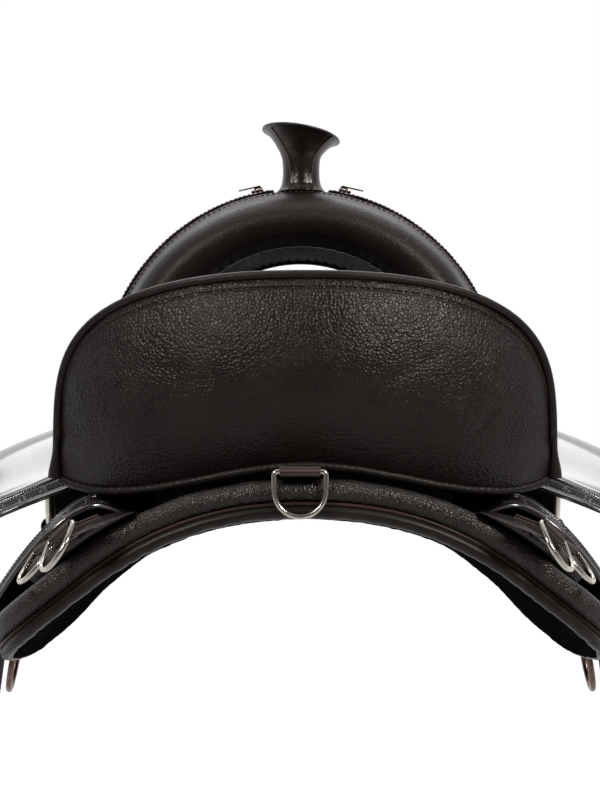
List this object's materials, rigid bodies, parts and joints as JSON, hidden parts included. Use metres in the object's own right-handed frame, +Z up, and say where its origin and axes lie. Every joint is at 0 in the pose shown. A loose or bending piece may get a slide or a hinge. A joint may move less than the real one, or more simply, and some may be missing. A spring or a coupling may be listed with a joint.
{
  "type": "treeless saddle",
  "caption": "Treeless western-style saddle of dark leather: padded seat and cantle, soft arched pommel with a horn, skirts, rings and stirrups on fenders.",
  "frame": {"origin": "on the horse's spine, level with the pad's underside at its rear edge", "axes": "+Z up, +Y towards the horse's head, +X towards the horse's right (off) side"},
  "size_m": [0.7204, 0.6232, 0.9111],
  "materials": {
    "pebbled_leather": "pebbled, semi-gloss",
    "smooth_leather": "smooth, oiled, glossy",
    "brown_webbing": "ribbed weave",
    "black_webbing": "ribbed weave",
    "nickel": "polished nickel plate",
    "foam": "stiff felted foam",
    "composite": "moulded",
    "fleece": "soft lining"
  },
  "bodies": {
    "saddle": {"pad_lining": "fleece", "pad_body": "pebbled_leather", "seat": "smooth_leather", "ground_seat": "foam", "cantle_back": "pebbled_leather", "cantle_welt": "pebbled_leather", "cantle_binding": "pebbled_leather", "cantle_core": "composite", "pommel_cover": "pebbled_leather", "pommel_insert": "composite", "pommel_lining": "fleece", "pommel_base": "composite", "horn": "pebbled_leather", "horn_post": "nickel", "rear_dee_tab": "brown_webbing", "rear_inner_dee_right_tab": "brown_webbing", "rear_outer_dee_right_tab": "brown_webbing", "front_dee_right_tab": "brown_webbing", "zip_tape_right": "brown_webbing", "jockey_right": "smooth_leather", "skirt_right": "smooth_leather", "side_panel_right": "pebbled_leather", "seat_wedge_right": "foam", "rigging_strap_right": "black_webbing", "rear_billet_right": "black_webbing", "stirrup_dee_right": "nickel", "stirrup_hanger_right": "black_webbing", "rear_inner_dee_left_tab": "brown_webbing", "rear_outer_dee_left_tab": "brown_webbing", "front_dee_left_tab": "brown_webbing", "zip_tape_left": "brown_webbing", "jockey_left": "smooth_leather", "skirt_left": "smooth_leather", "side_panel_left": "pebbled_leather", "seat_wedge_left": "foam", "rigging_strap_left": "black_webbing", "rear_billet_left": "black_webbing", "stirrup_dee_left": "nickel", "stirrup_hanger_left": "black_webbing"},
    "rear_dee": {"rear_dee": "nickel"},
    "rear_inner_dee_right": {"rear_inner_dee_right": "nickel"},
    "rear_outer_dee_right": {"rear_outer_dee_right": "nickel"},
    "front_dee_right": {"front_dee_right": "nickel"},
    "cinch_ring_right": {"cinch_ring_right": "nickel"},
    "zip_slider_right": {"zip_slider_right": "nickel"},
    "zip_pull_right": {"zip_pull_right": "nickel"},
    "fender_right": {"fender_right": "smooth_leather", "stirrup_loop_right": "smooth_leather"},
    "stirrup_right": {"stirrup_right": "composite", "stirrup_bolt_right": "nickel"},
    "rear_inner_dee_left": {"rear_inner_dee_left": "nickel"},
    "rear_outer_dee_left": {"rear_outer_dee_left": "nickel"},
    "front_dee_left": {"front_dee_left": "nickel"},
    "cinch_ring_left": {"cinch_ring_left": "nickel"},
    "zip_slider_left": {"zip_slider_left": "nickel"},
    "zip_pull_left": {"zip_pull_left": "nickel"},
    "fender_left": {"fender_left": "smooth_leather", "stirrup_loop_left": "smooth_leather"},
    "stirrup_left": {"stirrup_left": "composite", "stirrup_bolt_left": "nickel"}
  },
  "joints": [
    {"name": "rear_dee_swing", "type": "hinge", "parent": "saddle", "child": "rear_dee", "pos_m": [-0.005, -0.2942, 0.0345], "axis": [-1, 0, 0], "range_deg": [0, 110]},
    {"name": "rear_inner_dee_right_swing", "type": "hinge", "parent": "saddle", "child": "rear_inner_dee_right", "pos_m": [0.17844, -0.30551, -0.00898], "axis": [-0.5126, -0.7427, 0.4309], "range_deg": [0, 90]},
    {"name": "rear_outer_dee_right_swing", "type": "hinge", "parent": "saddle", "child": "rear_outer_dee_right", "pos_m": [0.19334, -0.26837, -0.02155], "axis": [-0.4455, -0.8539, 0.2692], "range_deg": [0, 90]},
    {"name": "front_dee_right_swing", "type": "hinge", "parent": "saddle", "child": "front_dee_right", "pos_m": [0.20726, 0.21968, -0.04029], "axis": [0.0643, -0.9819, -0.1784], "range_deg": [0, 90]},
    {"name": "cinch_ring_right_swing", "type": "hinge", "parent": "saddle", "child": "cinch_ring_right", "pos_m": [0.25038, 0.18, -0.11876], "axis": [0, -1, 0], "range_deg": [0, 90]},
    {"name": "zip_slider_right_travel", "type": "hinge", "parent": "saddle", "child": "zip_slider_right", "pos_m": [0, 0.175, 0.097], "axis": [0, 1, 0], "range_deg": [0, 58]},
    {"name": "zip_pull_right_flip", "type": "hinge", "parent": "zip_slider_right", "child": "zip_pull_right", "pos_m": [0.036, 0.175, 0.27718], "axis": [0, -1, 0], "range_deg": [0, 100]},
    {"name": "fender_right_swing", "type": "hinge", "parent": "saddle", "child": "fender_right", "pos_m": [0.21, 0.03, 0.012], "axis": [1, 0, 0], "range_deg": [-17, 17]},
    {"name": "stirrup_right_swing", "type": "hinge", "parent": "fender_right", "child": "stirrup_right", "pos_m": [0.32522, 0.03, -0.45341], "axis": [0, 1, 0], "range_deg": [-40, 40]},
    {"name": "rear_inner_dee_left_swing", "type": "hinge", "parent": "saddle", "child": "rear_inner_dee_left", "pos_m": [-0.17844, -0.30551, -0.00898], "axis": [-0.5126, 0.7427, -0.4309], "range_deg": [0, 90]},
    {"name": "rear_outer_dee_left_swing", "type": "hinge", "parent": "saddle", "child": "rear_outer_dee_left", "pos_m": [-0.19334, -0.26837, -0.02155], "axis": [-0.4455, 0.8539, -0.2692], "range_deg": [0, 90]},
    {"name": "front_dee_left_swing", "type": "hinge", "parent": "saddle", "child": "front_dee_left", "pos_m": [-0.20726, 0.21968, -0.04029], "axis": [0.0643, 0.9819, 0.1784], "range_deg": [0, 90]},
    {"name": "cinch_ring_left_swing", "type": "hinge", "parent": "saddle", "child": "cinch_ring_left", "pos_m": [-0.25038, 0.18, -0.11876], "axis": [0, 1, 0], "range_deg": [0, 90]},
    {"name": "zip_slider_left_travel", "type": "hinge", "parent": "saddle", "child": "zip_slider_left", "pos_m": [0, 0.175, 0.097], "axis": [0, -1, 0], "range_deg": [0, 58]},
    {"name": "zip_pull_left_flip", "type": "hinge", "parent": "zip_slider_left", "child": "zip_pull_left", "pos_m": [-0.036, 0.175, 0.27718], "axis": [0, 1, 0], "range_deg": [0, 100]},
    {"name": "fender_left_swing", "type": "hinge", "parent": "saddle", "child": "fender_left", "pos_m": [-0.21, 0.03, 0.012], "axis": [1, 0, 0], "range_deg": [-17, 17]},
    {"name": "stirrup_left_swing", "type": "hinge", "parent": "fender_left", "child": "stirrup_left", "pos_m": [-0.32522, 0.03, -0.45341], "axis": [0, 1, 0], "range_deg": [-40, 40]}
  ]
}
